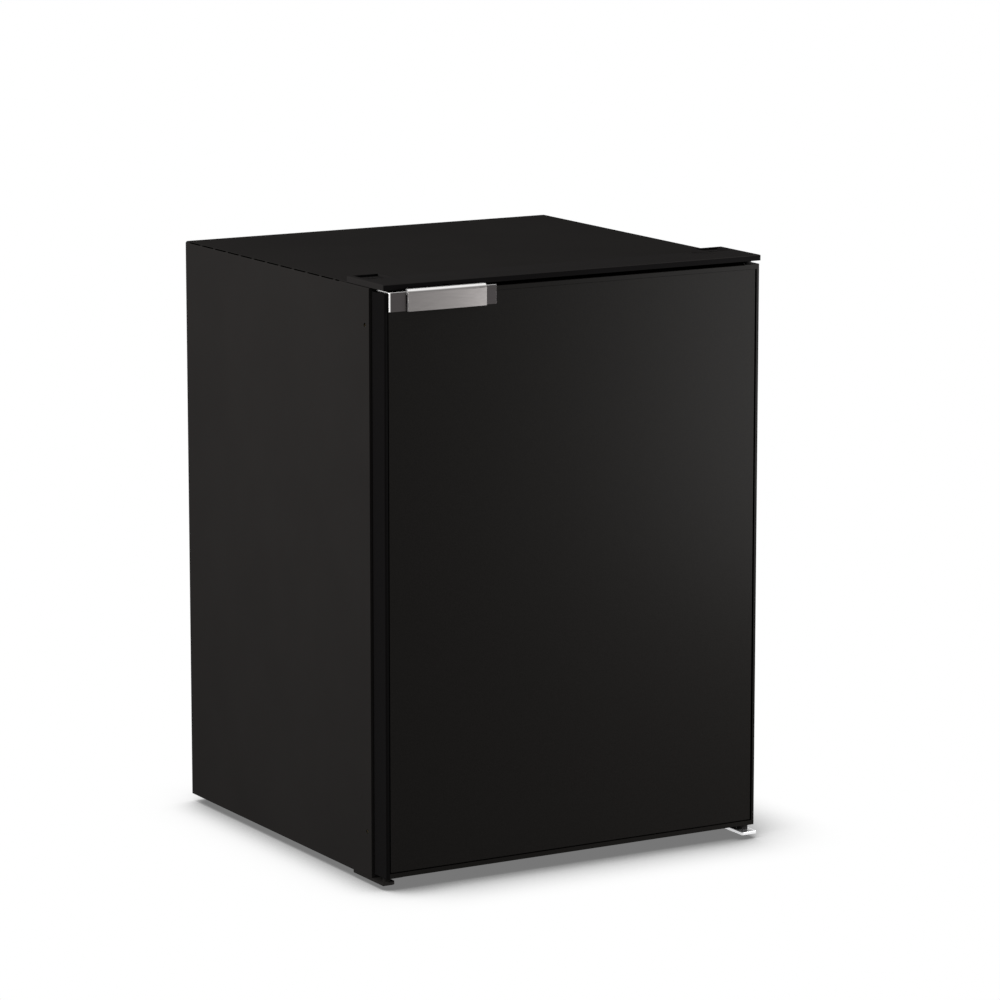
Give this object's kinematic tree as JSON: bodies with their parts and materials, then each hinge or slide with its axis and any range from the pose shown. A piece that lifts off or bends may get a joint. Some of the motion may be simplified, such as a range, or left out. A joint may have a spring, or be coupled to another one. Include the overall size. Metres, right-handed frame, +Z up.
{
  "type": "marine refrigerator",
  "caption": "Compact black front-opening marine refrigerator with a right-hinged door, latching grip lever, freezer box and rear cooling unit.",
  "frame": {"origin": "on the floor, at the middle of the whole object's box", "axes": "+X to the right of someone facing the door, +Y to the back, +Z up"},
  "size_m": [0.45, 0.449, 0.625],
  "materials": {
    "black_sheet": "satin black powder coat",
    "galvanised_sheet": "galvanised sheet",
    "trim_plastic": "satin moulded",
    "frame_black": "satin extruded",
    "panel_black": "fine grained black",
    "handle_steel": "brushed",
    "base_steel": "dark polished",
    "polished_steel": "polished",
    "screw_steel": "blackened",
    "rubber_black": "matt",
    "gasket_grey": "soft extruded",
    "foam": "rigid foam",
    "liner_white": "vacuum formed",
    "flap_white": "moulded",
    "tray_white": "moulded",
    "knob_grey": "moulded",
    "bin_clear": "clear moulded",
    "cover_glass": "clear glass",
    "lens_clear": "frosted",
    "shelf_wire": "white coated wire",
    "evaporator_aluminium": "mill finish",
    "fin_aluminium": "mill finish",
    "machine_black": "black enamel",
    "unit_black": "moulded",
    "copper": "bare copper",
    "bolt_black": "moulded"
  },
  "bodies": {
    "cabinet": {"casing": "black_sheet", "back_panel": "galvanised_sheet", "base_pan": "galvanised_sheet", "niche_shell": "galvanised_sheet", "insulation": "foam", "liner": "liner_white", "rear_grille": "unit_black", "cable_grommet": "rubber_black", "feet": "rubber_black", "top_trim": "trim_plastic", "strike_plate": "galvanised_sheet", "upper_hinge_plate": "galvanised_sheet", "lower_hinge_plate": "polished_steel", "hinge_pins": "screw_steel", "lower_left_bracket": "black_sheet", "screws": "screw_steel", "evaporator": "evaporator_aluminium", "evaporator_hangers": "liner_white", "drip_tray": "tray_white", "freezer_frame": "liner_white", "thermostat_housing": "liner_white", "lamp_lens": "lens_clear", "sensor_tube": "copper", "shelf_lower": "shelf_wire", "shelf_upper": "shelf_wire", "crisper_cover": "cover_glass", "ice_tray": "tray_white", "compressor": "machine_black", "compressor_grommets": "rubber_black", "electronic_unit": "unit_black", "condenser_coil": "copper", "condenser_fins": "fin_aluminium", "condenser_shroud": "galvanised_sheet", "fan_frame": "unit_black", "filter_drier": "copper", "discharge_line": "copper", "liquid_line": "copper", "capillary_line": "copper", "suction_line": "copper"},
    "door": {"door_stile_left": "frame_black", "door_stile_right": "frame_black", "door_rail_top": "frame_black", "door_rail_bottom": "frame_black", "door_panel": "panel_black", "door_foam": "foam", "door_liner": "liner_white", "gasket": "gasket_grey", "upper_bin": "bin_clear", "lower_bin": "bin_clear", "hinge_bushes": "unit_black", "handle_base": "base_steel", "lever_pin": "polished_steel", "latch_spring": "galvanised_sheet"},
    "lever": {"handle_lever": "handle_steel"},
    "bolt": {"latch_bolt": "bolt_black"},
    "freezer_flap": {"freezer_flap": "flap_white"},
    "crisper": {"crisper": "bin_clear"},
    "knob": {"thermostat_knob": "knob_grey"},
    "fan": {"fan_rotor": "unit_black"}
  },
  "joints": [
    {"name": "door_swing", "type": "hinge", "parent": "cabinet", "child": "door", "pos_m": [0.2145, -0.2065, 0.31425], "axis": [0, 0, 1], "range_deg": [0, 120]},
    {"name": "handle_lever", "type": "hinge", "parent": "door", "child": "lever", "pos_m": [-0.15525, -0.2178, 0.615], "axis": [-1, 0, 0], "range_deg": [0, 18], "stiffness_Nm_per_rad": 0.6},
    {"name": "latch_slide", "type": "slide", "parent": "door", "child": "bolt", "axis": [0, 0, -1], "range_m": [0, 0.00451], "deforming": ["latch_spring"]},
    {"name": "freezer_flap_swing", "type": "hinge", "parent": "cabinet", "child": "freezer_flap", "pos_m": [-0.044, -0.0685, 0.5596], "axis": [-1, 0, 0], "range_deg": [0, 90]},
    {"name": "crisper_slide", "type": "slide", "parent": "cabinet", "child": "crisper", "axis": [0, -1, 0], "range_m": [0, 0.045]},
    {"name": "thermostat_turn", "type": "hinge", "parent": "cabinet", "child": "knob", "pos_m": [0.1545, -0.044, 0.565], "axis": [0, 1, 0], "range_deg": [0, 270]},
    {"name": "fan_spin", "type": "hinge", "parent": "cabinet", "child": "fan", "pos_m": [0.108, 0.185, 0.0805], "axis": [0, 1, 0], "continuous": true}
  ],
  "couplings": [
    {"joint": "latch_slide", "follows": "handle_lever", "m_per_rad": 0.014365}
  ]
}
